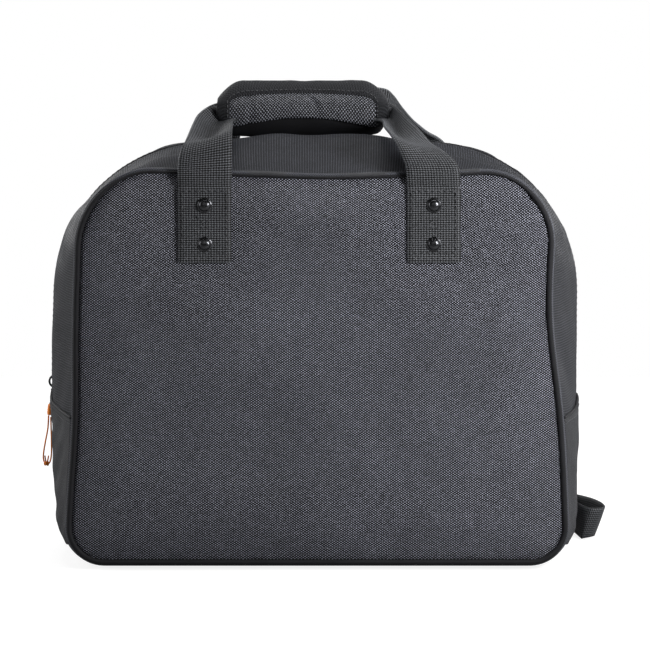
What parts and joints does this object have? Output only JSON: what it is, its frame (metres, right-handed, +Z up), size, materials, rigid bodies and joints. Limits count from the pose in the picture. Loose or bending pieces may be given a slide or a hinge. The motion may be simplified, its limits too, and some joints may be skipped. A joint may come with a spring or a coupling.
{
  "type": "bowling ball bag",
  "caption": "Soft carry bag for a bowling ball: piped padded panels, zip over the top, twin webbing handles with a wrap grip, side pockets and back straps.",
  "frame": {"origin": "middle of the flat underside", "axes": "+Z up, -Y out of the front face that carries the long handle tabs and the grip wrap, +X to the right as seen from the front"},
  "size_m": [0.4337, 0.2571, 0.36],
  "materials": {
    "shell": "coarse coated ballistic weave, charcoal",
    "gusset": "coated weave, charcoal, matte",
    "binding": "black woven binding tape",
    "webbing": "black ribbed webbing",
    "rivet": "dark gunmetal",
    "zip": "black zip tape",
    "slider": "black enamel",
    "orange": "bright orange cord",
    "board": "matt black sheet",
    "foam": "covered foam",
    "buckle": "matt black"
  },
  "bodies": {
    "shell": {"base_gusset": "gusset", "gusset_rear_upper": "gusset", "gusset_fold_left": "gusset", "gusset_fold_right": "gusset", "rear_panel": "shell", "front_panel_fold": "shell", "front_panel_lower": "shell", "piping_rear": "binding", "piping_front_lower": "binding", "piping_fold_left": "binding", "piping_fold_right": "binding", "zip_tape_rear": "zip", "side_pocket_left": "shell", "side_pocket_right": "shell", "pocket_binding_left": "binding", "pocket_binding_right": "binding", "rear_tab_left": "webbing", "rear_tab_right": "webbing", "rear_rivet_left_low": "rivet", "rear_rivet_left_high": "rivet", "rear_rivet_right_low": "rivet", "rear_rivet_right_high": "rivet", "base_board": "board", "ball_cup": "foam", "harness_yoke": "shell", "shoulder_strap_left": "shell", "shoulder_strap_right": "shell", "ladder_lock_left": "buckle", "ladder_lock_right": "buckle", "strap_webbing_left": "webbing", "strap_webbing_right": "webbing", "strap_anchor_left": "webbing", "strap_anchor_right": "webbing"},
    "front_half": {"gusset_front_upper": "gusset", "front_panel_upper": "shell", "piping_front_upper": "binding", "zip_tape_front": "zip", "front_tab_left": "webbing", "front_tab_right": "webbing", "front_rivet_left_low": "rivet", "front_rivet_left_high": "rivet", "front_rivet_right_low": "rivet", "front_rivet_right_high": "rivet"},
    "front_handle": {"front_handle_webbing": "webbing", "grip_pad": "shell"},
    "grip_leaf": {"grip_leaf": "shell"},
    "rear_handle": {"rear_handle_webbing": "webbing"},
    "zip_slider": {"zip_slider_body": "slider"},
    "zip_pull": {"pull_stem": "zip", "pull_sleeve": "orange", "pull_cord": "orange"}
  },
  "joints": [
    {"name": "mouth_open", "type": "hinge", "parent": "shell", "child": "front_half", "pos_m": [0, 0, 0.1275], "axis": [1, 0, 0], "range_deg": [0, 50], "deforming": ["front_panel_fold", "gusset_fold_left", "gusset_fold_right", "piping_fold_left", "piping_fold_right", "side_pocket_left", "side_pocket_right", "pocket_binding_left", "pocket_binding_right"]},
    {"name": "front_handle_swing", "type": "hinge", "parent": "front_half", "child": "front_handle", "pos_m": [0, -0.126, 0.2848], "axis": [1, 0, 0], "range_deg": [0, 170]},
    {"name": "grip_leaf_open", "type": "hinge", "parent": "front_handle", "child": "grip_leaf", "pos_m": [0, -0.02337, 0.32667], "axis": [1, 0, 0], "range_deg": [0, 50]},
    {"name": "rear_handle_swing", "type": "hinge", "parent": "shell", "child": "rear_handle", "pos_m": [0, 0.126, 0.2848], "axis": [-1, 0, 0], "range_deg": [0, 170]},
    {"name": "zip_slide", "type": "slide", "parent": "shell", "child": "zip_slider", "axis": [-0.008, 0, 1], "range_m": [0, 0.06]},
    {"name": "zip_pull_swing", "type": "hinge", "parent": "zip_slider", "child": "zip_pull", "pos_m": [-0.20273, 0, 0.1241], "axis": [0, 1, 0], "range_deg": [0, 45]}
  ]
}
